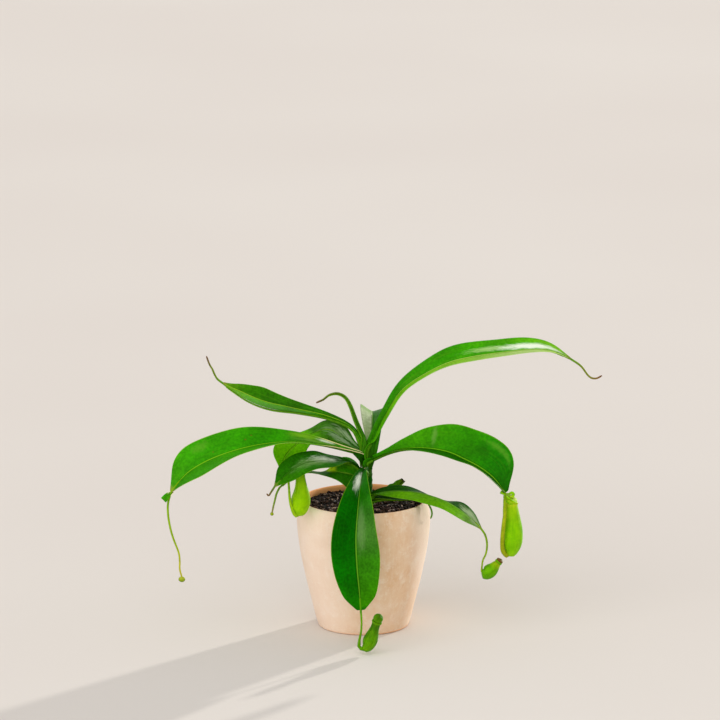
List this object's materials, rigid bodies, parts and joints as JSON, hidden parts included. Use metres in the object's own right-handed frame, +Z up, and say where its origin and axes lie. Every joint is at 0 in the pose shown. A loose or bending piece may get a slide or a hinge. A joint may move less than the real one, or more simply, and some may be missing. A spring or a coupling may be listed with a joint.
{
  "type": "potted pitcher plant",
  "caption": "Young tropical pitcher plant with long arching leaves, thin tendrils and hanging lidded pitchers, growing in a plain tapered terracotta pot of soil.",
  "frame": {"origin": "centre of the pot's flat base, on the surface that it stands on", "axes": "+Z up along the pot's axis, +X to the right in the picture, +Y away from the viewer"},
  "size_m": [0.4368, 0.257, 0.2868],
  "materials": {
    "terracotta": "unglazed, matte, pale orange-brown",
    "soil": "dark crumbly potting mix, matte",
    "stem": "satin green plant tissue",
    "leaf": "glossy green, leathery",
    "pitcher": "satin yellow-green"
  },
  "bodies": {
    "root": {"pot": "terracotta", "soil": "soil", "stem": "stem", "leaf_upper_right": "leaf", "leaf_upper_left": "leaf", "leaf_big_left": "leaf", "leaf_broad_right": "leaf", "leaf_front": "leaf", "leaf_dark_left": "leaf", "leaf_lower_left": "leaf", "leaf_back_left": "leaf", "leaf_lower_right": "leaf", "leaf_back_right": "leaf", "leaf_low_small": "leaf", "leaf_back": "leaf", "leaf_young": "leaf", "pitcher_right": "pitcher", "pitcher_left": "pitcher", "pitcher_front": "pitcher", "pitcher_small": "pitcher"}
  },
  "joints": []
}
